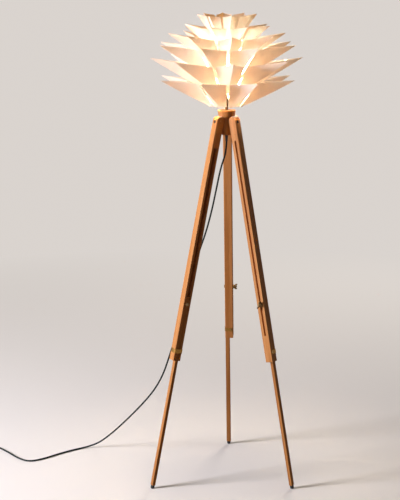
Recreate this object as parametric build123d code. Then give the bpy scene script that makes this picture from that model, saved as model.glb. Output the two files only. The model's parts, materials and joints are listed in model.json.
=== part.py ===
"""Tripod floor lamp: three telescopic wooden legs on a turned head, under a shade of petals.

Millimetres, +Z up. The origin lies on the floor under the middle of the lamp's outline, and the
lamp's own axis stands at (axis_x, axis_y). Each leg is built in its own frame: its hinge pin is
the origin, +X points outwards, +Y runs anticlockwise round the lamp and the leg hangs along -Z.
"""
from build123d import *
import math
import os

# ---------------------------------------------------------------- driving dimensions
axis_x = 3.5                  # the lamp's axis, off the middle of its outline
axis_y = -18.5

seat_gap = 0.05               # a fixed piece in its seat
past = 1.0                    # cuts run this far past the faces that they open
running_gap = 0.3             # between pieces that slide or turn past each other
pin_play = 0.05               # radial clearance round a turning pin

# hinges
pivot_height = 1262.0
pivot_radius = 31.5           # from the lamp's axis to the hinge pins
eye_radius = 8.0
eye_thickness = 9.0
eye_tail_radius = 9.0         # the inner end of each eye, from the lamp's axis
pin_radius = 3.0
lean_stop = 14.0              # the eye meets the end of its pocket

# head
head_top = pivot_height + 34.5
head_bottom = pivot_height - 49.0
head_rim_radius = 30.5
head_neck_radius = 27.8       # at the underside of the rim
head_core_radius = 16.8
head_foot_radius = 16.2
head_taper_height = 18.0      # from the foot of the head up to the full core
head_edge = 1.5

# legs: name, azimuth, lean from the vertical as the lamp stands
legs = (("back", 84.8, 11.4), ("left", 209.0, 11.8), ("right", 325.5, 10.9))
leg_depth = 28.0              # across the leg, in the direction it leans
leg_width = 29.0
leg_edge = 2.0
upper_length = 831.0          # from the pin to the lower end
channel_start_length = 92.0   # below the pin
slot_start_length = 66.0      # below the pin
slot_end_length = 738.0
slot_width = 6.8

# tension screws in the outward faces
recess_radius = 6.8
recess_depth = 3.2
recess_drop = 5.0             # its middle, below the pin
tension_head_radius = 5.4
tension_head_height = 2.0
tension_stem_radius = 2.5
screwdriver_slot = 1.2

# lower legs
bar_depth = 11.5
bar_width = 15.5
bar_edge = 1.0
bar_short = 590.0             # a lower leg is this much shorter than the pivot is high
bar_length = pivot_height - bar_short
bar_flush = 0.3               # the bar lies this much inside the open side of its channel
bolt_below_bar_top = 26.5
foot_height = 12.0            # from the end of the bar to the floor, along the bar
foot_radius = 6.6
foot_round_rise = 4.0         # the round end's centre, above the floor
foot_stem_radius = 3.5
foot_stem_length = 14.0

# clamps
bolt_radius = 3.0
bolt_head_radius = 6.0
bolt_head_height = 3.0
bolt_head_round = 1.2
washer_radius = 8.5
washer_thickness = 1.5
nut_height = 9.0
nut_foot_radius = 6.2
nut_top_radius = 5.0
wing_reach = 13.5
wing_height = 13.0
wing_thickness = 2.6
wing_root = 1.5               # the wings start this far inside the hub's top
wing_foot = 0.8               # above the nut's foot
wing_edge = 1.5
bolt_end = 3.0                # stands out of the nut
wing_angles = {"back": 15.0, "left": 70.0, "right": 60.0}

# bands round the lower ends of the upper legs
band_height = 14.0
band_thickness = 1.2
band_above_end = 34.5         # from the leg's end to the middle of the band
band_stop = 3.0               # the strap ends this far short of the leg's clockwise side
band_screw_inset = 6.5        # from the leg's clockwise side
band_screw_radius = 1.5
band_screw_length = 7.0
band_screw_head_radius = 3.0
band_screw_head_height = 1.2

# stem, lampholder and bulb
stem_radius = 5.0
stem_bore = 3.5
stem_foot = head_top - 40.5
cap_bottom = head_top + 13.5
cap_neck_radius = 7.6
cap_neck_height = 6.0
cap_height = 24.0
cap_collar = 8.0              # the cylindrical part at its top
cap_wall = 2.0
shell_radius = 19.5
shell_bore = 14.6
shell_height = 34.0
flange_radius = 24.0
flange_thickness = 2.5
flange_above_cap = 9.0
shade_ring_height = 6.0
shade_ring_radius = 25.0
shade_ring_edge = 1.0
insert_height = 11.0
insert_roof = 3.0
insert_bore = 2.0
bulb_cap_radius = 13.2
bulb_cap_height = 26.0
bulb_contact_radius = 4.5
bulb_contact_height = 2.0
bulb_cap_taper = 5.0          # from the tip up to the thread
bulb_radius = 30.0
bulb_neck_radius = 12.6
bulb_length = 78.0            # of the glass
bulb_shoulder = 30.0          # below the middle of the ball, where the neck meets it
glass_wall = 1.0

# shade: tip radius, tip height, valley radius, valley height, base height, turn in steps,
# with the heights above the shade's foot
shade_foot = head_top + 16.5
tiers = (
    (238.0, 90.0, 131.0, 80.0, 0.0, 0.52),
    (255.0, 157.0, 137.0, 138.0, 45.0, 0.08),
    (239.0, 204.0, 130.0, 189.0, 93.0, 0.53),
    (196.0, 238.5, 117.0, 223.0, 142.0, 0.08),
    (150.0, 265.0, 92.0, 256.0, 191.0, 0.54),
    (100.0, 301.0, 76.0, 295.0, 228.0, 0.17),
)
petals_per_tier = 8
petal_thickness = 1.2         # measured upright
petal_sag = 5.0               # the ridge and seams bow down by about half of this
petal_edge_share = 0.42       # the top edge's control point, from the ridge to the seam
petal_edge_bulge = 1.03       # over the valley's radius
petal_edge_rise = 0.1         # of the way up from the valley to the tip
base_gap = 2.4                # half the slit beside a petal, at its base
valley_gap = 5.5              # and at the lowest tier's valley, in step with its radius above
cage_bottom_radius = 61.0     # the petals' bases lie on this cone
cage_top_radius = 44.0
rib_width = 6.0
rib_thickness = 2.5
rib_turn = 0.28               # in steps, between the seams of odd and even tiers
hub_thickness = 2.5
hub_arm_width = 6.0
hub_toe = 1.5                 # the arm levels out this far inside the ribs
top_ring_height = 4.0
top_ring_width = 5.0

# cord
cord_radius = 3.0
gland_length = 23.0
gland_foot_radius = 4.8
gland_tip_radius = 3.7
gland_seat = 6.0              # depth inside the head
lead_radius = 2.8
coil_inner_turn = 30.0        # radii of the spare turns, one beside the other
coil_outer_turn = 36.0
coil_height = 11.5
coil_lead_in_length = 26.0    # straight lead before the first turn
coil_lead_out_length = 34.0   # and after the last, to the plug
coil_exit_angle = 180.0       # where the last turn leaves the coil
tie_angle = 285.0
tie_width = 8.0
tie_thickness = 1.2
plug_length = 34.0
plug_width = 30.0
plug_thickness = 13.4
plug_shoulder = 12.0          # from the tail to the full width
plug_edge = 2.5
plug_tail_length = 20.0
plug_tail_radius = 4.8
plug_tail_tip_radius = 3.8
plug_pin_length = 19.0
plug_pin_radius = 2.0
plug_pin_spacing = 19.0
plug_pin_seat = 8.0           # depth inside the body
plug_pin_edge = 1.0

# The cord's route from the lamp's axis: down from the gland, with heights as shares of the exit's
# height, out behind the left leg, then across the floor to the coil.
cord_exit_height = head_bottom - gland_length
cord_fall = (
    (0, 0, 1.0),
    (0, 0, 0.971),
    (-16, 9, 0.924),
    (-34, 15, 0.859),
    (-53, 19, 0.793),
    (-73, 22, 0.729),
    (-91, 26, 0.672),
    (-109, 31, 0.616),
    (-132, 38, 0.547),
    (-155, 49, 0.479),
    (-179, 62, 0.411),
    (-204, 77, 0.345),
    (-231, 94, 0.282),
    (-262, 113, 0.229),
    (-300, 134, 0.182),
    (-342, 158, 0.138),
    (-386, 188, 0.094),
    (-428, 220, 0.050),
    (-468, 240, 0.017),
)
cord_floor = (
    (-510, 243),
    (-560, 215),
    (-612, 177),
    (-662, 128),
    (-712, 94),
    (-757, 128),
    (-798, 182),
    (-842, 234),
    (-885, 271),
)
cord_points = [(x, y, share * cord_exit_height) for x, y, share in cord_fall]
cord_points += [(x, y, cord_radius) for x, y in cord_floor]


# ---------------------------------------------------------------- helpers
def span(x0, x1, y0, y1, z0, z1):
    """A box between two corners."""
    return Pos((x0 + x1) / 2, (y0 + y1) / 2, (z0 + z1) / 2) * Box(x1 - x0, y1 - y0, z1 - z0)


def rod_x(radius, x0, x1, y=0.0, z=0.0):
    return Pos((x0 + x1) / 2, y, z) * Rot(0, 90, 0) * Cylinder(radius, x1 - x0)


def rod_y(radius, y0, y1, x=0.0, z=0.0):
    return Pos(x, (y0 + y1) / 2, z) * Rot(90, 0, 0) * Cylinder(radius, y1 - y0)


def rod_z(radius, z0, z1, x=0.0, y=0.0):
    return Pos(x, y, (z0 + z1) / 2) * Cylinder(radius, z1 - z0)


def turned(*profile):
    """A solid turned about Z from (radius, height) corners."""
    outline = Polyline(*[(r, 0, z) for r, z in profile], close=True)
    return revolve(make_face(outline), Axis.Z)


def on_leg(shape, azimuth, lean):
    """Place a shape built in a leg's frame."""
    at_pivot = Rot(0, 0, azimuth) * Pos(pivot_radius, 0, pivot_height) * Rot(0, -lean, 0)
    return at_pivot * shape


# ---------------------------------------------------------------- head and hinges
def rim_underside():
    return pivot_height + leg_depth / 2 + 2 * running_gap


def head_block():
    taper_top = head_bottom + head_taper_height
    body = turned(
        (0, head_bottom),
        (head_foot_radius, head_bottom),
        (head_core_radius, taper_top),
        (head_core_radius, rim_underside()),
        (head_neck_radius, rim_underside()),
        (head_rim_radius, head_top),
        (0, head_top),
    )
    body = fillet(body.edges().group_by(Axis.Z)[-1], head_edge)
    body -= rod_z(stem_radius + seat_gap, stem_foot, head_top + past)
    body -= rod_z(stem_bore, head_bottom - past, stem_foot)
    body -= rod_z(gland_foot_radius + seat_gap, head_bottom - past, head_bottom + gland_seat)
    for _, azimuth, _ in legs:
        body -= Rot(0, 0, azimuth) * hinge_eye(seat_gap, with_bore=False)
    return body


def hinge_eye(clearance=0.0, with_bore=True):
    """A flat eye, its tail let into the head and its bore on the hinge pin."""
    half = eye_radius + clearance
    side = eye_thickness / 2 + clearance
    low, high = pivot_height - half, pivot_height + half
    eye = span(eye_tail_radius - clearance, pivot_radius, -side, side, low, high)
    eye += rod_y(half, -side, side, pivot_radius, pivot_height)
    if with_bore:
        eye -= rod_y(pin_radius + pin_play, -side - past, side + past, pivot_radius, pivot_height)
    return eye


def hinge_eyes():
    return [Rot(0, 0, azimuth) * hinge_eye() for _, azimuth, _ in legs]


# ---------------------------------------------------------------- upper legs
def eye_pocket():
    """What the eye sweeps in the leg's top, from folded to the stop."""
    half = eye_radius + running_gap
    side = eye_thickness / 2 + running_gap
    neck = span(-leg_depth, 0, -side, side, -half, half)
    pocket = rod_y(half, -side, side)
    for lean in (0, lean_stop / 2, lean_stop):
        pocket += Rot(0, lean, 0) * neck
    return pocket


def long_slot(width, z_low, z_high, y0, y1):
    """A slot along the leg with round ends, cut through in Y."""
    r = width / 2
    slot = span(-r, r, y0, y1, z_low + r, z_high - r)
    slot += rod_y(r, y0, y1, 0, z_low + r)
    slot += rod_y(r, y0, y1, 0, z_high - r)
    return slot


def upper_leg():
    half, side = leg_depth / 2, leg_width / 2
    leg = span(-half, half, -side, side, -upper_length, 0)
    leg += rod_y(half, -side, side)
    flanks = leg.faces().filter_by(Axis.Y)
    leg = fillet(flanks.edges(), leg_edge)

    channel_floor = side - bar_flush - bar_width - running_gap
    channel_width = bar_depth + 2 * running_gap
    below = upper_length + channel_width
    leg -= long_slot(channel_width, -below, -channel_start_length, channel_floor, side + past)
    leg -= long_slot(slot_width, -slot_end_length, -slot_start_length, -side - past, channel_floor + past)

    leg -= eye_pocket()
    leg -= rod_y(pin_radius, -side - past, side + past)
    leg -= rod_x(recess_radius, half - recess_depth, half + past, z=-recess_drop)
    leg -= rod_x(tension_stem_radius + seat_gap, 0, half, z=-recess_drop)
    for x0, x1 in band_screw_spans(0):
        leg -= rod_x(band_screw_radius, x0, x1, -side + band_screw_inset, band_middle())
    return leg


def hinge_pin():
    side = leg_width / 2
    return rod_y(pin_radius, -side, side)


def tension_screw():
    """A screw in the outward face that bears on the hinge eye."""
    seat = leg_depth / 2 - recess_depth
    screw = rod_x(tension_stem_radius, eye_radius + running_gap, seat)
    head = rod_x(tension_head_radius, seat, seat + tension_head_height)
    w = screwdriver_slot / 2
    top = seat + tension_head_height
    head -= span(top - past, top + past, -tension_head_radius, tension_head_radius, -w, w)
    return Pos(0, 0, -recess_drop) * (screw + head)


# ---------------------------------------------------------------- bands
def band_middle():
    return -upper_length + band_above_end


def band_screw_spans(head):
    """Where the band's two screws lie along X, one in the inward and one in the outward face."""
    out = leg_depth / 2 + seat_gap + band_thickness
    return ((out - band_screw_length - band_thickness, out + head),
            (-out - head, -out + band_screw_length + band_thickness))


def band():
    """A strap over the open side of the channel and both neighbouring faces."""
    gap = seat_gap
    x, y = leg_depth / 2 + gap, leg_width / 2 + gap
    t = band_thickness
    outer = RectangleRounded(2 * (x + t), 2 * (y + t), leg_edge + gap + t)
    inner = RectangleRounded(2 * x, 2 * y, leg_edge + gap)
    low = band_middle() - band_height / 2
    strap = Pos(0, 0, low) * extrude(outer - inner, band_height)
    open_side = -leg_width / 2 + band_stop
    strap -= span(-x - 2 * t, x + 2 * t, -y - 2 * t, open_side, low - past, low + band_height + past)
    for x0, x1 in band_screw_spans(1):
        strap -= rod_x(band_screw_radius, x0, x1, -leg_width / 2 + band_screw_inset, band_middle())
    return strap


def band_screws():
    screws = []
    out = leg_depth / 2 + seat_gap + band_thickness
    y, z = -leg_width / 2 + band_screw_inset, band_middle()
    for sign, (x0, x1) in zip((1, -1), band_screw_spans(0)):
        screw = rod_x(band_screw_radius, x0, x1, y, z)
        head = rod_x(band_screw_head_radius, out, out + band_screw_head_height, y, z)
        if sign < 0:
            head = mirror(head, Plane.YZ)
        screws.append(screw + head)
    return screws


# ---------------------------------------------------------------- lower legs
def bar_end(lean):
    """How far below the pin the bar ends, so that its foot stands on the floor."""
    return pivot_height / math.cos(math.radians(lean)) - foot_height


def bar_middle():
    return leg_width / 2 - bar_flush - bar_width / 2


def bolt_level(lean):
    return -(bar_end(lean) - bar_length + bolt_below_bar_top)


def lower_leg(lean):
    end = bar_end(lean)
    y = bar_middle()
    x, w = bar_depth / 2, bar_width / 2
    bar = span(-x, x, y - w, y + w, -end, -end + bar_length)
    bar = fillet(bar.edges().filter_by(Axis.Z), bar_edge)
    bar -= rod_y(bolt_radius, y - w - past, y + w + past, 0, bolt_level(lean))
    bar -= rod_z(foot_stem_radius + seat_gap, -end - past, -end + foot_stem_length + seat_gap, 0, y)
    return bar


def foot(lean):
    """A round rubber tip with a stem in the end of the bar, worn flat where it stands."""
    end = bar_end(lean)
    y = bar_middle()
    centre = -(end + foot_height - foot_round_rise)
    tip = rod_z(foot_radius, centre, -end, 0, y) + Pos(0, y, centre) * Sphere(foot_radius)
    tip += rod_z(foot_stem_radius, -end, -end + foot_stem_length, 0, y)
    floor_block = Rot(0, lean, 0) * Pos(-pivot_radius, 0, -pivot_height) * span(
        -upper_length, upper_length, -upper_length, upper_length, -foot_height, 0)
    return tip - floor_block


def clamp_bolt(lean):
    z = bolt_level(lean)
    seat = leg_width / 2 - bar_flush
    nut_foot = leg_width / 2 + running_gap + washer_thickness + running_gap
    shank = rod_y(bolt_radius, -(nut_foot + nut_height + bolt_end), seat, 0, z)
    head = rod_y(bolt_head_radius, seat, seat + bolt_head_height, 0, z)
    head = fillet(head.edges().group_by(Axis.Y)[-1], bolt_head_round)
    return shank + head


def clamp_washer(lean):
    z = bolt_level(lean)
    inner = leg_width / 2 + running_gap
    outer = inner + washer_thickness
    return rod_y(washer_radius, -outer, -inner, 0, z) - rod_y(
        bolt_radius + seat_gap, -outer - past, -inner + past, 0, z)


def wing_nut(lean, angle):
    hub = Cone(nut_foot_radius, nut_top_radius, nut_height, align=(Align.CENTER, Align.CENTER, Align.MIN))
    root = nut_top_radius - wing_root
    outline = Polyline(
        (root, wing_foot),
        (nut_foot_radius + wing_root, 2 * wing_foot),
        (wing_reach, nut_height * 0.75),
        (wing_reach, wing_height),
        (wing_reach - wing_thickness, wing_height),
        (root, nut_height - wing_root),
        close=True,
    )
    face = make_face(Plane.XZ * outline)
    wing = Pos(0, wing_thickness / 2, 0) * extrude(face, wing_thickness, dir=(0, -1, 0))
    tips = wing.edges().filter_by(Axis.Y).group_by(Axis.X)[-1]
    wing = fillet(tips, wing_edge)
    nut = hub + wing + mirror(wing, Plane.YZ)
    nut -= rod_z(bolt_radius + pin_play, -past, wing_height + past)
    foot_level = leg_width / 2 + 2 * running_gap + washer_thickness
    return Pos(0, -foot_level, bolt_level(lean)) * Rot(90, 0, 0) * Rot(0, 0, angle) * nut


# ---------------------------------------------------------------- stem, lampholder and bulb
def stem_tube():
    top = cap_bottom + cap_neck_height
    return rod_z(stem_radius, stem_foot, top) - rod_z(stem_bore, stem_foot - past, top + past)


def lampholder_cap():
    neck_top = cap_bottom + cap_neck_height
    top = cap_bottom + cap_height
    shoulder = top - cap_collar
    outside = turned(
        (0, cap_bottom), (cap_neck_radius, cap_bottom), (cap_neck_radius, neck_top),
        (shell_radius, shoulder), (shell_radius, top), (0, top))
    w = cap_wall
    inside = turned(
        (0, neck_top + w), (cap_neck_radius - w, neck_top + w),
        (shell_radius - w, shoulder + w), (shell_radius - w, top + past), (0, top + past))
    return outside - inside - rod_z(stem_radius + seat_gap, cap_bottom - past, neck_top) - rod_z(
        stem_bore, neck_top - past, neck_top + w + past)


def shell_bottom():
    return cap_bottom + cap_height


def flange_top():
    return shell_bottom() + flange_above_cap + flange_thickness


def lampholder_shell():
    low = shell_bottom()
    shell = rod_z(shell_radius, low, low + shell_height)
    shell += rod_z(flange_radius, low + flange_above_cap, flange_top())
    return shell - rod_z(shell_bore, low - past, low + shell_height + past)


def lampholder_insert():
    low = shell_bottom()
    body = rod_z(shell_bore - seat_gap, low, low + insert_height)
    return body - rod_z(insert_bore, low - past, low + insert_height - insert_roof)


def shade_ring():
    low = flange_top() + seat_gap + hub_thickness + seat_gap
    ring = rod_z(shade_ring_radius, low, low + shade_ring_height)
    ring = fillet(ring.edges().group_by(Axis.Z)[-1], shade_ring_edge)
    return ring - rod_z(shell_radius + seat_gap, low - past, low + shade_ring_height + past)


def bulb_foot():
    return shell_bottom() + insert_height


def bulb_cap():
    low = bulb_foot()
    high = low + bulb_cap_height
    return turned((0, low), (bulb_contact_radius, low),
                  (bulb_contact_radius, low + bulb_contact_height),
                  (bulb_cap_radius, low + bulb_cap_taper), (bulb_cap_radius, high), (0, high))


def bulb_glass():
    low = bulb_foot() + bulb_cap_height
    centre = low + bulb_length - bulb_radius

    shoulder = math.radians(bulb_shoulder)

    def bulb(shrink):
        r = bulb_radius - shrink
        neck = turned((0, low + shrink), (bulb_neck_radius - shrink, low + shrink),
                      (r * math.cos(shoulder), centre - r * math.sin(shoulder)), (0, centre))
        return Pos(0, 0, centre) * Sphere(r) + neck

    return bulb(0) - bulb(glass_wall)


# ---------------------------------------------------------------- shade
def cage_radius(height):
    """The cone on which the petals' bases lie."""
    share = (height - shade_foot) / tiers[-1][4]
    return cage_bottom_radius + share * (cage_top_radius - cage_bottom_radius)


def half_petal(tip_r, tip_z, valley_r, valley_z, base_z):
    """From a petal's ridge to its seam: a sheet bent through nine control points."""
    base_r = cage_radius(base_z)
    half_angle = math.pi / petals_per_tier

    def at(radius, share, height, slit=0.0):
        """A point at a share of the half angle, drawn back from the seam by the slit."""
        angle = half_angle * share
        return Vector(radius * math.cos(angle) + slit * math.sin(angle),
                      radius * math.sin(angle) - slit * math.cos(angle), height)

    def halfway(low, high):
        return (low + high) * 0.5 - Vector(0, 0, petal_sag)

    corner_r = base_r / math.cos(half_angle / 2)
    base = (at(base_r, 0, base_z), at(corner_r, 0.5, base_z), at(base_r, 1, base_z, base_gap))
    edge = at(valley_r * petal_edge_bulge, petal_edge_share,
              valley_z + petal_edge_rise * (tip_z - valley_z))
    slit = valley_gap * valley_r / tiers[0][2]
    top = (at(tip_r, 0, tip_z), edge, at(valley_r, 1, valley_z, slit))
    middle = [halfway(low, high) for low, high in zip(base, top)]
    sheet = Face.make_bezier_surface([list(base), middle, list(top)])
    return extrude(sheet, petal_thickness, dir=(0, 0, 1))


def petal_tier(tier):
    tip_r, tip, valley_r, valley, base, turn = tier
    half = half_petal(tip_r, shade_foot + tip, valley_r, shade_foot + valley, shade_foot + base)
    petal = half + mirror(half, Plane.XZ)
    step = 360 / petals_per_tier
    return [Rot(0, 0, step * (k + turn)) * petal for k in range(petals_per_tier)]


def rib():
    """One straight rib of the cage, just inside the petals' bases."""
    low, high = shade_foot, shade_foot + tiers[-1][4] + petal_thickness
    r0, r1 = cage_radius(low) - running_gap, cage_radius(high) - running_gap
    t = rib_thickness
    side = Plane.XZ * Polyline((r0 - t, low), (r0, low), (r1, high), (r1 - t, high), close=True)
    return Pos(0, rib_width / 2, 0) * extrude(make_face(side), rib_width, dir=(0, -1, 0))


def shade_ribs():
    step = 360 / petals_per_tier
    return [Rot(0, 0, step * (k + rib_turn)) * rib() for k in range(petals_per_tier)]


def shade_hub():
    """A dished spider: a ring clamped on the lampholder, and an arm to the foot of each rib."""
    low = flange_top() + seat_gap
    outer = cage_radius(shade_foot) - running_gap
    t = hub_thickness
    hub = rod_z(shade_ring_radius, low, low + t)
    ring_edge = shade_ring_radius - hub_toe
    toe = outer - rib_thickness - hub_toe
    sole = shade_foot - seat_gap
    arm_side = Plane.XZ * Polyline(
        (ring_edge, low), (ring_edge, low + t), (shade_ring_radius + hub_toe, low + t), (toe, sole),
        (outer, sole), (outer, sole - t), (toe - hub_toe, sole - t), (shade_ring_radius, low), close=True)
    arm = extrude(make_face(arm_side), hub_arm_width, dir=(0, -1, 0))
    arm = Pos(0, hub_arm_width / 2, 0) * arm
    for k in range(petals_per_tier):
        hub += Rot(0, 0, 360 / petals_per_tier * (k + rib_turn)) * arm
    return hub - rod_z(shell_radius + seat_gap, low - past, low + t + past)


def shade_top_ring():
    low = shade_foot + tiers[-1][4] + petal_thickness + seat_gap
    outer = cage_radius(low) - running_gap
    ring = rod_z(outer, low, low + top_ring_height)
    return ring - rod_z(outer - top_ring_width, low - past, low + top_ring_height + past)


# ---------------------------------------------------------------- cord
def gland():
    low, high = head_bottom - gland_length, head_bottom
    body = turned((0, low), (gland_tip_radius, low), (gland_foot_radius, high),
                  (gland_foot_radius, high + gland_seat), (0, high + gland_seat))
    return body - rod_z(lead_radius + seat_gap, low - past, high + gland_seat + past)


def inner_lead():
    """The lead inside the gland, the head and the stem, up to the lampholder."""
    return rod_z(lead_radius, head_bottom - gland_length, shell_bottom())


def corner_radii(points):
    """The largest arc each corner's runs allow."""
    radii = []
    for a, b, c in zip(points, points[1:], points[2:]):
        before, after = Vector(*b) - Vector(*a), Vector(*c) - Vector(*b)
        half_turn = math.radians(before.get_angle(after)) / 2
        radii.append(0.45 * min(before.length, after.length) / math.tan(half_turn))
    return radii


def cord_tube():
    radii = corner_radii(cord_points)
    route = FilletPolyline(*cord_points, radius=radii)
    start = Plane(cord_points[0], z_dir=Vector(*cord_points[1]) - Vector(*cord_points[0]))
    tube = sweep(start * Circle(cord_radius), path=route)
    print("cord: tightest arc %.0f, length %.0f" % (min(radii), route.length))
    print("cord: arc radii", " ".join("%.0f" % r for r in radii))
    section = math.pi * cord_radius ** 2
    print("cord: volume over section times length %.4f" % (tube.volume / section / route.length))
    return tube


def rod_between(radius, start, end):
    """A round rod between two points."""
    start, end = Vector(*start), Vector(*end)
    way = end - start
    return extrude(Plane(start, z_dir=way) * Circle(radius), way.length, dir=way)


def coil_centre():
    """The coil lies where the cord's last run comes in along its outer turn."""
    before, last = Vector(*cord_points[-2]), Vector(*cord_points[-1])
    way = (last - before).normalized()
    touch = last + way * coil_lead_in_length
    return touch + Vector(-way.Y, way.X, 0) * coil_outer_turn


def coil_exit():
    """Where the last turn leaves the coil, and the plug's end of its lead."""
    angle = math.radians(coil_exit_angle)
    out, along = (math.cos(angle), math.sin(angle)), (-math.sin(angle), math.cos(angle), 0)
    centre = coil_centre()
    middle = (coil_inner_turn + coil_outer_turn) / 2
    leave = Vector(centre.X + out[0] * middle, centre.Y + out[1] * middle, plug_thickness / 2)
    return leave, leave + Vector(*along) * coil_lead_out_length


def cord_coil():
    """The outer shape of the spare turns, with the leads into and out of them."""
    outer, inner = coil_outer_turn + cord_radius, coil_inner_turn - cord_radius
    centre = coil_centre()
    ring = rod_z(outer, 0, coil_height) - rod_z(inner, -past, coil_height + past)
    coil = Pos(centre.X, centre.Y, 0) * ring
    last = Vector(*cord_points[-1])
    touch = last + (last - Vector(*cord_points[-2])).normalized() * coil_lead_in_length
    coil += rod_between(cord_radius, last, touch)
    coil += rod_between(cord_radius, *coil_exit())
    return coil


def cord_tie():
    """A clip over the turns, open to the floor."""
    gap = seat_gap
    inner, outer = coil_inner_turn - cord_radius - gap, coil_outer_turn + cord_radius + gap
    t, w, top = tie_thickness, tie_width / 2, coil_height + gap
    clip = span(inner - t, outer + t, -w, w, 0, top + t)
    clip -= span(inner, outer, -w - past, w + past, -past, top)
    ring_space = rod_z(outer, -past, top) - rod_z(inner, -2 * past, top + past)
    clip -= ring_space
    centre = coil_centre()
    return Pos(centre.X, centre.Y, 0) * Rot(0, 0, tie_angle) * clip


def plug_place():
    """The plug's own frame: its tail's tip at the origin, its pins along +X."""
    _, end = coil_exit()
    return Pos(end.X, end.Y, end.Z) * Rot(0, 0, coil_exit_angle + 90)


def plug_body():
    low = plug_tail_length
    half, tail = plug_width / 2, plug_tail_radius + plug_edge
    outline = Polyline((low, -tail), (low + plug_shoulder, -half), (low + plug_length, -half),
                       (low + plug_length, half), (low + plug_shoulder, half), (low, tail), close=True)
    h = plug_thickness / 2
    body = Pos(0, 0, -h) * extrude(make_face(outline), plug_thickness)
    body = fillet(body.edges().group_by(Axis.Z)[0] + body.edges().group_by(Axis.Z)[-1], plug_edge)
    tail_side = Polyline((0, 0), (0, plug_tail_tip_radius), (low + plug_edge, plug_tail_radius),
                         (low + plug_edge, 0), close=True)
    body += revolve(make_face(tail_side), Axis.X)
    for side in (-1, 1):
        y = side * plug_pin_spacing / 2
        face = low + plug_length
        body -= rod_x(plug_pin_radius, face - plug_pin_seat, face + past, y)
    return plug_place() * body


def plug_pins():
    face = plug_tail_length + plug_length
    pins = []
    for side in (-1, 1):
        y = side * plug_pin_spacing / 2
        pin = rod_x(plug_pin_radius, face - plug_pin_seat, face + plug_pin_length, y)
        pin = fillet(pin.edges().group_by(Axis.X)[-1], plug_pin_edge)
        pins.append(plug_place() * pin)
    return pins


PARTS = {}


def build():
    PARTS["head_block"] = head_block()
    PARTS["hinge_eyes"] = hinge_eyes()
    for name, azimuth, lean in legs:
        pieces = {
            "upper_leg": upper_leg(),
            "hinge_pin": hinge_pin(),
            "tension_screw": tension_screw(),
            "band": band(),
            "band_screws": band_screws(),
            "lower_leg": lower_leg(lean),
            "foot": foot(lean),
            "clamp_bolt": clamp_bolt(lean),
            "clamp_washer": clamp_washer(lean),
            "wing_nut": wing_nut(lean, wing_angles[name]),
        }
        for piece, shape in pieces.items():
            solids = shape if isinstance(shape, list) else [shape]
            PARTS[piece + "_" + name] = [on_leg(solid, azimuth, lean) for solid in solids]
    PARTS["stem_tube"] = stem_tube()
    PARTS["lampholder_cap"] = lampholder_cap()
    PARTS["lampholder_shell"] = lampholder_shell()
    PARTS["lampholder_insert"] = lampholder_insert()
    PARTS["shade_ring"] = shade_ring()
    PARTS["bulb_cap"] = bulb_cap()
    PARTS["bulb_glass"] = bulb_glass()
    PARTS["shade_hub"] = shade_hub()
    PARTS["shade_ribs"] = shade_ribs()
    PARTS["shade_top_ring"] = shade_top_ring()
    for number, tier in enumerate(tiers, 1):
        PARTS["petals_tier_%d" % number] = petal_tier(tier)
    PARTS["cord_gland"] = gland()
    PARTS["inner_lead"] = inner_lead()
    PARTS["cord"] = cord_tube()
    PARTS["cord_coil"] = cord_coil()
    PARTS["cord_tie"] = cord_tie()
    PARTS["plug_body"] = plug_body()
    PARTS["plug_pins"] = plug_pins()


def write():
    os.makedirs("parts", exist_ok=True)
    place = Pos(axis_x, axis_y, 0)
    for name, shape in PARTS.items():
        solids = shape if isinstance(shape, list) else [shape]
        solids = [place * solid for solid in solids]
        whole = solids[0] if len(solids) == 1 else Compound(children=solids)
        export_step(whole, "parts/" + name + ".step")


build()
write()
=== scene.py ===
"""Looks of the tripod floor lamp: oiled wood, brass fittings, a lit shade of petals and a black cord.

Metres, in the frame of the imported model. The lamp's own axis stands at (AXIS_X, AXIS_Y).
"""

import json
import math

import bpy
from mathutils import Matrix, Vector


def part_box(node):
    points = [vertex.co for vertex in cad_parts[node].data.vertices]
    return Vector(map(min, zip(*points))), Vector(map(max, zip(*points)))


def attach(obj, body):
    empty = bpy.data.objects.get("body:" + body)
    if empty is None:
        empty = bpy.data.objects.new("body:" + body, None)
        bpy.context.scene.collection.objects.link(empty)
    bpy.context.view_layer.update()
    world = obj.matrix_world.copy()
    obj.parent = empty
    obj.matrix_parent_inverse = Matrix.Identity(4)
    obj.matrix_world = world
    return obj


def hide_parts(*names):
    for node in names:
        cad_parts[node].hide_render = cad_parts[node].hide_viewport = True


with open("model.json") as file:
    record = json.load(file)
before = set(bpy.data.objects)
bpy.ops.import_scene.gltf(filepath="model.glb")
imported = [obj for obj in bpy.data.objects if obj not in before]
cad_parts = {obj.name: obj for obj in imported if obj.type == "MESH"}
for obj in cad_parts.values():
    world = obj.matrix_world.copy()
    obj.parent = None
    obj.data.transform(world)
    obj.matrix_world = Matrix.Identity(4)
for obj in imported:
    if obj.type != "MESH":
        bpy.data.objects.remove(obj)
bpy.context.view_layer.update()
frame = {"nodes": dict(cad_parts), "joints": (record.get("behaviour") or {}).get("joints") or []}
nodes = frame["nodes"]


def middle_of(node):
    """The middle of a node's box in x and y, to a tenth of a millimetre."""
    low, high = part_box(node)
    return [round((low[k] + high[k]) / 2, 4) for k in (0, 1)]


AXIS_X, AXIS_Y = middle_of("stem_tube")
EXIT_HEIGHT = round(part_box("cord_gland")[0][2], 4)     # where the cord leaves its gland
CORD_RADIUS = 0.003
LEGS = ("back", "left", "right")
JOINT_AXES = {joint["name"]: Vector(joint["axis"]) for joint in frame["joints"]}
UP = Vector((0, 0, 1))


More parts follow.
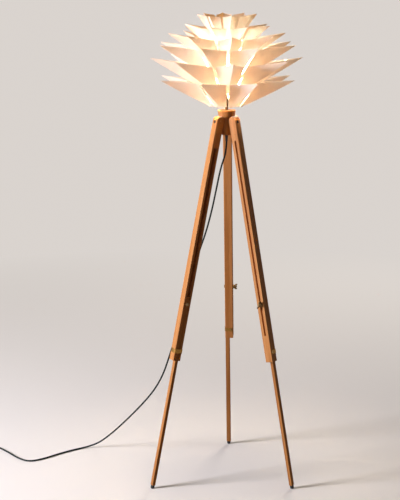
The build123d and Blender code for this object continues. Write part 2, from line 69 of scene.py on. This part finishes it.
# ---------------------------------------------------------------- camera
def make_camera(aside=-0.0896, back=4.572, height=1.852, tilt_down=12.8, lens=98.06):
    """A camera before the lamp and a little to its left, tilted down by so many degrees."""
    data = bpy.data.cameras.new("camera")
    data.sensor_fit = "VERTICAL"
    data.sensor_height = 36.0
    data.lens = lens
    camera = bpy.data.objects.new("camera", data)
    camera.location = (AXIS_X + aside, AXIS_Y - back, height)
    camera.rotation_euler = (math.radians(90 - tilt_down), 0, 0)
    bpy.context.scene.collection.objects.link(camera)
    bpy.context.scene.camera = camera


make_camera()


# ---------------------------------------------------------------- material tools
class Nodes:
    """Short calls for building the node tree of a material or of the world."""

    def __init__(self, owner, output):
        owner.use_nodes = True
        self.tree = owner.node_tree
        self.tree.nodes.clear()
        self.out = self.tree.nodes.new(output)

    def fill(self, socket, value):
        """Join a socket to another node or give it a constant. A colour may leave out its alpha."""
        if isinstance(value, bpy.types.NodeSocket):
            self.tree.links.new(value, socket)
        elif isinstance(value, tuple) and len(value) < len(socket.default_value):
            socket.default_value = (*value, 1.0)
        else:
            socket.default_value = value

    def add(self, kind, **inputs):
        """A node with these inputs, whose names have an underscore for each space."""
        node = self.tree.nodes.new("ShaderNode" + kind)
        for key, value in inputs.items():
            self.fill(node.inputs[key.replace("_", " ")], value)
        return node

    def math(self, operation, a, b=0.0, c=0.0, clamp=False):
        node = self.add("Math")
        node.operation = operation
        node.use_clamp = clamp
        for socket, value in zip(node.inputs, (a, b, c)):
            self.fill(socket, value)
        return node.outputs[0]

    def dot(self, vector, direction):
        node = self.add("VectorMath")
        node.operation = "DOT_PRODUCT"
        self.fill(node.inputs[0], vector)
        self.fill(node.inputs[1], direction)
        return node.outputs["Value"]

    def length(self, vector):
        node = self.add("VectorMath")
        node.operation = "LENGTH"
        self.fill(node.inputs[0], vector)
        return node.outputs["Value"]

    def vector(self, x, y, z):
        return self.add("CombineXYZ", X=x, Y=y, Z=z).outputs[0]

    def noise(self, vector, scale, detail=3.0, roughness=0.5, distortion=0.0):
        node = self.add("TexNoise", Vector=vector, Scale=scale, Detail=detail,
                        Roughness=roughness, Distortion=distortion)
        return node.outputs["Fac"]

    def range(self, value, low, high, to_low, to_high):
        """A number that goes from to_low to to_high while the value goes from low to high."""
        node = self.add("MapRange", Value=value, From_Min=low, From_Max=high,
                        To_Min=to_low, To_Max=to_high)
        return node.outputs[0]

    def ramp(self, factor, *stops):
        """A colour ramp from (position, colour) stops."""
        node = self.add("ValToRGB", Fac=factor)
        elements = node.color_ramp.elements
        while len(elements) < len(stops):
            elements.new(0.5)
        for element, (position, colour) in zip(elements, stops):
            element.position = position
            element.color = (*colour, 1.0)
        return node.outputs[0]

    def mix(self, factor, first, second):
        """A blend of two colours."""
        node = self.add("Mix")
        node.data_type = "RGBA"
        # sockets 0, 6 and 7 are the factor and the two colours, and output 2 is the blend
        self.fill(node.inputs[0], factor)
        self.fill(node.inputs[6], first)
        self.fill(node.inputs[7], second)
        return node.outputs[2]

    def bump(self, height, distance, strength):
        return self.add("Bump", Height=height, Distance=distance, Strength=strength).outputs[0]

    def end(self, shader):
        self.fill(self.out.inputs[0], shader.outputs[0])

    def end_in_blend(self, factor, first, second):
        """End the tree in a blend of two shaders."""
        both = self.add("MixShader", Fac=factor)
        self.fill(both.inputs[1], first.outputs[0])
        self.fill(both.inputs[2], second.outputs[0])
        self.end(both)


class Surface(Nodes):
    """A material whose patterns all start from the place on the object."""

    def __init__(self, name):
        self.material = bpy.data.materials.new(name)
        super().__init__(self.material, "ShaderNodeOutputMaterial")
        self.place = self.add("TexCoord").outputs["Object"]

    def height(self):
        return self.dot(self.place, UP)

    def principled(self, **inputs):
        """End the tree in one Principled shader and give the material."""
        self.end(self.add("BsdfPrincipled", **inputs))
        return self.material


def scaled(colour, factor):
    return tuple(factor * c for c in colour)


def wear(n, scale, low, high):
    """A patchy number between low and high, for roughness."""
    return n.range(n.noise(n.place, scale, 4.0), 0.3, 0.7, low, high)


def paint(node, material):
    """Give a CAD node this material."""
    mesh = nodes[node].data
    mesh.materials.clear()
    mesh.materials.append(material)


# ---------------------------------------------------------------- wood
def wood(name, along, light, dark, seed, fineness=1.0):
    """Oiled hardwood with its grain along a direction: bands, fibres and open pores."""
    n = Surface(name)
    along = along.normalized()
    side = along.orthogonal().normalized()
    sideways = [n.dot(n.place, way) for way in (side, along.cross(side))]
    lengthwise = n.dot(n.place, along)

    def drawn_out(cells_across, cells_along, detail, roughness=0.5, distortion=0.0):
        """Noise with so many cells to the metre across the grain and along it."""
        u, v = (n.math("MULTIPLY", place, cells_across * fineness) for place in sideways)
        w = n.math("MULTIPLY_ADD", lengthwise, cells_along, seed)
        return n.noise(n.vector(u, v, w), 1.0, detail, roughness, distortion)

    broad = drawn_out(55, 1.6, 3.0, 0.55, 0.35)
    fibre = drawn_out(520, 14.0, 4.0, 0.6)
    pores = drawn_out(1500, 60.0, 2.0)
    rings = n.math("SINE", n.math("MULTIPLY", broad, 34.0))

    halfway = tuple((a + b) / 2 for a, b in zip(light, dark))
    tone = n.ramp(broad, (0.32, dark), (0.52, halfway), (0.68, light))
    banded = n.mix(n.range(rings, -1.0, 1.0, 0.0, 0.22), tone, scaled(dark, 0.62))
    streaked = n.mix(n.range(fibre, 0.42, 0.72, 0.0, 0.38), banded, scaled(dark, 0.72))
    flecked = n.mix(n.range(pores, 0.62, 0.74, 0.0, 0.55), streaked, scaled(dark, 0.30))
    relief = n.math("MULTIPLY_ADD", pores, -0.6, n.math("MULTIPLY", fibre, -0.5))
    return n.principled(Base_Color=flecked, Roughness=n.range(fibre, 0.3, 0.7, 0.38, 0.56),
                        Specular_IOR_Level=0.12, Normal=n.bump(relief, 0.00035, 0.55))


# ---------------------------------------------------------------- metals and plastics
def metal(name, colour, roughness, tarnish, metallic=1.0):
    """Worn metal: brushed fine grain, with tarnish in patches."""
    n = Surface(name)
    patch = n.noise(n.place, 170.0, 5.0, 0.6)
    fine = n.noise(n.place, 900.0, 3.0, 0.6)
    shade = n.mix(n.range(patch, 0.42, 0.66, 0.0, 0.75), colour, tarnish)
    shade = n.mix(n.range(fine, 0.35, 0.75, 0.0, 0.18), shade, scaled(tarnish, 0.5))
    rough = n.math("MULTIPLY_ADD", patch, 0.25, roughness - 0.12, clamp=True)
    return n.principled(Base_Color=shade, Metallic=metallic, Roughness=rough,
                        Normal=n.bump(fine, 0.00008, 0.6))


def moulded(name, colour, roughness, lighter=1.6):
    """Moulded plastic, rubber or ceramic with a fine texture and faint lighter scuffs."""
    n = Surface(name)
    patch = n.noise(n.place, 60.0, 4.0, 0.6)
    fine = n.noise(n.place, 1400.0, 2.0, 0.5)
    shade = n.mix(n.range(patch, 0.45, 0.75, 0.0, 0.6), colour, scaled(colour, lighter))
    rough = wear(n, 90.0, roughness - 0.08, roughness + 0.1)
    return n.principled(Base_Color=shade, Roughness=rough, Normal=n.bump(fine, 0.00006, 0.5))


# ---------------------------------------------------------------- cord
# control points from the lamp's axis: x, y and a share of the exit's height
CORD_FALL = (
    (0, 0, 1.0), (0, 0, 0.971), (-0.019, 0.009, 0.924), (-0.034, 0.015, 0.859),
    (-0.050, 0.019, 0.793), (-0.070, 0.022, 0.729), (-0.094, 0.026, 0.672),
    (-0.109, 0.031, 0.616), (-0.130, 0.038, 0.547), (-0.152, 0.049, 0.479),
    (-0.174, 0.062, 0.411), (-0.198, 0.077, 0.345), (-0.221, 0.094, 0.282),
    (-0.252, 0.113, 0.229), (-0.292, 0.134, 0.182), (-0.334, 0.158, 0.138),
    (-0.377, 0.188, 0.094), (-0.423, 0.220, 0.050), (-0.467, 0.238, 0.017),
)
# control points from the lamp's axis: x and y
CORD_ON_FLOOR = (
    (-0.510, 0.240), (-0.560, 0.209), (-0.612, 0.167), (-0.662, 0.119), (-0.712, 0.091),
    (-0.757, 0.126), (-0.798, 0.182), (-0.842, 0.234), (-0.885, 0.271),
)
COIL_INNER, COIL_OUTER = 0.030, 0.036     # radii of the coil's turns, to the cord's middle line
CROSSING_HEIGHT = 0.0082                  # the middle line where the cord climbs on the coil
GROOVE_HEIGHT = 0.0067                    # and where it lies in the groove between the turns
COIL_STEPS = 44                           # control points in the coil
LEAD_IN = 0.026                           # from the last point on the floor to the coil
LEAD_OUT = 0.034                          # from the coil to the plug


def eased(stops, angle):
    """Radius and height at an angle, eased from one (angle, radius, height) stop to the next."""
    for (a0, r0, z0), (a1, r1, z1) in zip(stops, stops[1:]):
        if a0 <= angle <= a1:
            share = (angle - a0) / (a1 - a0)
            share = share * share * (3 - 2 * share)
            return r0 + (r1 - r0) * share, z0 + (z1 - z0) * share


def coil(before, last):
    """The coil's control points. The cord runs up to it through the two points given."""
    way_x, way_y = last[0] - before[0], last[1] - before[1]
    length = math.hypot(way_x, way_y)
    way_x, way_y = way_x / length, way_y / length
    centre_x = last[0] + way_x * LEAD_IN - way_y * COIL_OUTER
    centre_y = last[1] + way_y * LEAD_IN + way_x * COIL_OUTER
    start = math.atan2(-way_x, way_y)
    turn = 2 * math.pi
    # one turn outside, one inside it, then on top in the groove between them, as far as the
    # coil's left side
    last_angle = 2 * turn + (math.pi - start) % turn
    groove = 0.5 * (COIL_INNER + COIL_OUTER)
    stops = (
        (0.0, COIL_OUTER, CORD_RADIUS),
        (turn * 0.92, COIL_OUTER, CORD_RADIUS),
        (turn * 1.08, COIL_INNER, CORD_RADIUS),
        (turn * 1.92, COIL_INNER, CORD_RADIUS),
        (turn * 2.1, groove, CROSSING_HEIGHT),
        (last_angle, groove, GROOVE_HEIGHT),
    )
    # a control point stands outside the turn that its curve makes
    inward = math.cos(last_angle / COIL_STEPS / 2) ** 1.5
    points = []
    for k in range(1, COIL_STEPS + 1):
        angle = last_angle * k / COIL_STEPS
        # the last point stays at the height before it and stands further out, as the cord leaves
        if k < COIL_STEPS:
            radius, height = eased(stops, angle)
        radius /= inward
        points.append((centre_x + radius * math.cos(start + angle),
                       centre_y + radius * math.sin(start + angle), height))
    return points


def cord_route():
    """The cord's control points: down from its gland, over the floor, round the coil to the plug."""
    points = [(x, y, share * EXIT_HEIGHT) for x, y, share in CORD_FALL]
    points += [(x, y, CORD_RADIUS) for x, y in CORD_ON_FLOOR]
    points += coil(points[-2], points[-1])
    x, y, z = points[-1]
    points.append((x, y - LEAD_OUT, z))
    return [(x + AXIS_X, y + AXIS_Y, z) for x, y, z in points]


def cord_sheath():
    """Black flexible plastic with a faint green in it."""
    n = Surface("cord_flex")
    fine = n.noise(n.place, 700.0, 3.0)
    shade = n.ramp(fine, (0.35, (0.004, 0.008, 0.0065)), (0.75, (0.011, 0.019, 0.016)))
    return n.principled(Base_Color=shade, Roughness=wear(n, 60.0, 0.42, 0.56),
                        Specular_IOR_Level=0.2, Normal=n.bump(fine, 0.00006, 0.4))


def make_cord():
    curve = bpy.data.curves.new("cord_line", "CURVE")
    curve.dimensions = "3D"
    curve.bevel_depth = CORD_RADIUS
    curve.bevel_resolution = 4
    curve.resolution_u = 8
    curve.use_fill_caps = True
    spline = curve.splines.new("NURBS")
    route = cord_route()
    spline.points.add(len(route) - 1)
    for point, place in zip(spline.points, route):
        point.co = (*place, 1.0)
    spline.order_u = 3
    spline.use_endpoint_u = True
    curve.materials.append(cord_sheath())
    cord = bpy.data.objects.new("free_cord", curve)
    bpy.context.scene.collection.objects.link(cord)
    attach(cord, "lamp_head")
    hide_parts("cord", "cord_coil")


make_cord()


# ---------------------------------------------------------------- wooden pieces
WOOD_LIGHT, WOOD_DARK = (0.67, 0.312, 0.108), (0.43, 0.158, 0.038)
BAR_LIGHT, BAR_DARK = (0.58, 0.255, 0.078), (0.35, 0.125, 0.028)     # the sliding lower legs

# each piece has its own seed, so that no two show the same grain
for number, leg in enumerate(LEGS):
    down_leg = JOINT_AXES["extend_" + leg]
    seed = 3.1 * number
    paint("upper_leg_" + leg,
          wood("upper_wood_" + leg, down_leg, WOOD_LIGHT, WOOD_DARK, seed))
    paint("lower_leg_" + leg,
          wood("lower_wood_" + leg, down_leg, BAR_LIGHT, BAR_DARK, seed + 20))
    paint("hinge_pin_" + leg,
          wood("dowel_wood_" + leg, down_leg.cross(UP), WOOD_LIGHT, WOOD_DARK, number + 40,
               fineness=2.0))
paint("head_block", wood("head_wood", UP, WOOD_LIGHT, WOOD_DARK, seed=60.0, fineness=1.3))


# ---------------------------------------------------------------- fittings
brass = metal("aged_brass", (0.27, 0.175, 0.080), 0.40, (0.07, 0.042, 0.020))
dark_brass = metal("dark_brass", (0.36, 0.190, 0.045), 0.50, (0.16, 0.075, 0.018))
dull_steel = metal("dull_steel", (0.020, 0.014, 0.010), 0.55, (0.010, 0.007, 0.005), 0.5)
black_steel = metal("black_steel", (0.045, 0.038, 0.032), 0.45, (0.09, 0.06, 0.04), 0.6)
rubber = moulded("foot_rubber", (0.018, 0.017, 0.016), 0.75)
black_plastic = moulded("black_moulding", (0.014, 0.013, 0.012), 0.42)
brown_plastic = moulded("brown_moulding", (0.13, 0.070, 0.030), 0.45, 1.3)
shade_frame = moulded("shade_frame", (0.66, 0.55, 0.40), 0.45, 1.15)

for leg in LEGS:
    paint("band_" + leg, dark_brass)
    paint("band_screws_" + leg, brass)
    paint("tension_screw_" + leg, dull_steel)
    paint("clamp_bolt_" + leg, brass)
    paint("clamp_washer_" + leg, brass)
    paint("wing_nut_" + leg, brass)
    paint("foot_" + leg, rubber)
for node in ("cord_gland", "plug_body", "cord_tie", "inner_lead", "cord", "cord_coil"):
    paint(node, black_plastic)
for node in ("lampholder_cap", "lampholder_shell", "shade_ring"):
    paint(node, brown_plastic)
for node in ("shade_hub", "shade_ribs", "shade_top_ring"):
    paint(node, shade_frame)
paint("hinge_eyes", black_steel)
paint("stem_tube", metal("bronzed_tube", (0.22, 0.110, 0.030), 0.42, (0.10, 0.048, 0.014), 0.5))
paint("lampholder_insert", moulded("ceramic_insert", (0.74, 0.72, 0.66), 0.5, 1.1))
paint("bulb_cap", metal("bulb_thread", (0.62, 0.62, 0.60), 0.3, (0.42, 0.40, 0.36)))
paint("plug_pins", metal("plated_pins", (0.72, 0.69, 0.60), 0.25, (0.50, 0.44, 0.30)))


# ---------------------------------------------------------------- bulb and petals
def bulb_glass(ball_radius=0.030, neck=850.0, shoulder=2750.0, crown=0.05):
    """A lit lamp of frosted glass, with its strength at the neck and at the shoulder.

    The crown is a share of the shoulder's strength.
    """
    n = Surface("lit_glass")
    cloud = n.noise(n.place, 40.0, 2.0)
    glow = n.ramp(cloud, (0.3, (1.0, 0.81, 0.56)), (0.7, (1.0, 0.86, 0.64)))
    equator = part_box("bulb_glass")[1][2] - ball_radius
    height = n.height()
    lower = n.range(height, equator - 0.010, equator + 0.010, neck, shoulder)
    upper = n.range(height, equator + 0.012, equator + 0.024, 1.0, crown)
    return n.principled(Base_Color=(0.95, 0.90, 0.80), Roughness=0.35, Emission_Color=glow,
                        Emission_Strength=n.math("MULTIPLY", lower, upper))


def petals(share_through=0.57, shade_from=1.49, shade_at=1.57):
    """Thin translucent sheet: part of the light is turned back and part goes through.

    What goes through turns darker and yellower between two heights, a painted shade
    that dims the small upper tiers.
    """
    n = Surface("petal_sheet")
    broad = n.noise(n.place, 14.0, 3.0)
    fibre = n.noise(n.place, 420.0, 4.0, 0.65)
    front = n.mix(n.range(broad, 0.35, 0.65, 0.0, 1.0), (0.93, 0.89, 0.85), (0.90, 0.85, 0.80))
    front = n.mix(n.range(fibre, 0.4, 0.7, 0.0, 0.15), front, (0.78, 0.68, 0.58))
    # painted shade: the light going through the upper tiers is darkened and yellowed with height
    upper_tier_shade = n.range(n.height(), shade_from, shade_at, 0.0, 1.0)
    through = n.mix(upper_tier_shade, (1.0, 0.90, 0.79), (0.77, 0.56, 0.28))
    through = n.mix(n.range(fibre, 0.35, 0.7, 0.0, 0.2), through, (0.92, 0.71, 0.49))
    normal = n.bump(fibre, 0.00008, 0.4)
    solid = n.add("BsdfPrincipled", Base_Color=front, Roughness=0.55, Specular_IOR_Level=0.3,
                  Normal=normal)
    thin = n.add("BsdfTranslucent", Color=through, Normal=normal)
    n.end_in_blend(share_through, solid, thin)
    return n.material


paint("bulb_glass", bulb_glass())
petal_sheet = petals()
for node in nodes:
    if node.startswith("petals_tier_"):
        paint(node, petal_sheet)


# ---------------------------------------------------------------- floor and light
BACKGROUND = (0.70, 0.655, 0.62)
FLOOR = (0.90, 0.845, 0.775)
FLOOR_BOUNCE = (0.30, 0.22, 0.16)     # the floor's colour for the light that it throws back


def seen_directly(n):
    """1 where the eye, a reflection or clear glass looks at it, 0 for light on its way."""
    path = n.add("LightPath").outputs
    direct = n.math("MAXIMUM", path["Is Camera Ray"], path["Is Glossy Ray"])
    return n.math("MAXIMUM", direct, path["Is Transmission Ray"])


def make_floor(half=60.0, drop=0.0004, fade_from=0.7, fade_to=3.6):
    """A wide plain floor just under the feet, which fades into the background round the lamp."""
    mesh = bpy.data.meshes.new("floor")
    corners = [(-half, -half, 0), (half, -half, 0), (half, half, 0), (-half, half, 0)]
    mesh.from_pydata(corners, [], [(0, 1, 2, 3)])
    floor = bpy.data.objects.new("floor", mesh)
    floor.location.z = -drop
    bpy.context.scene.collection.objects.link(floor)
    n = Surface("pale_floor")
    direct = seen_directly(n)
    matt = n.add("BsdfDiffuse", Color=n.mix(direct, FLOOR_BOUNCE, FLOOR))
    plain = n.add("Emission", Color=BACKGROUND, Strength=1.0)
    far = n.range(n.length(n.place), fade_from, fade_to, 0.0, 1.0)
    n.end_in_blend(n.math("MULTIPLY", far, direct), matt, plain)
    mesh.materials.append(n.material)


def make_world():
    """Faint warm light from all round, with the plain background where it is looked at."""
    world = bpy.data.worlds.new("studio")
    n = Nodes(world, "ShaderNodeOutputWorld")
    soft = n.add("Background", Color=(1.0, 0.87, 0.76), Strength=0.038)
    plain = n.add("Background", Color=BACKGROUND, Strength=1.0)
    n.end_in_blend(seen_directly(n), soft, plain)
    bpy.context.scene.world = world


def area_light(name, place, target, size, power, colour):
    """A round soft light at a place, turned to its target."""
    data = bpy.data.lights.new(name, "AREA")
    data.shape = "DISK"
    data.size = size
    data.energy = power
    data.color = colour
    light = bpy.data.objects.new(name, data)
    light.location = place
    light.rotation_euler = (Vector(target) - Vector(place)).to_track_quat("-Z", "Y").to_euler()
    bpy.context.scene.collection.objects.link(light)


make_floor()
make_world()
area_light("key", place=(-3.7, -1.2, 1.75), target=(0, 0, 0.9), size=1.2, power=270.0,
           colour=(0.89, 0.89, 1.0))
area_light("fill", place=(0.4, -4.6, 2.4), target=(0, 0, 0.8), size=1.6, power=4.5,
           colour=(1.0, 0.84, 0.70))
area_light("back", place=(1.4, 4.2, 2.6), target=(0, 0, 0.8), size=1.6, power=90.0,
           colour=(1.0, 0.96, 0.92))

bpy.context.scene.view_settings.view_transform = "Standard"
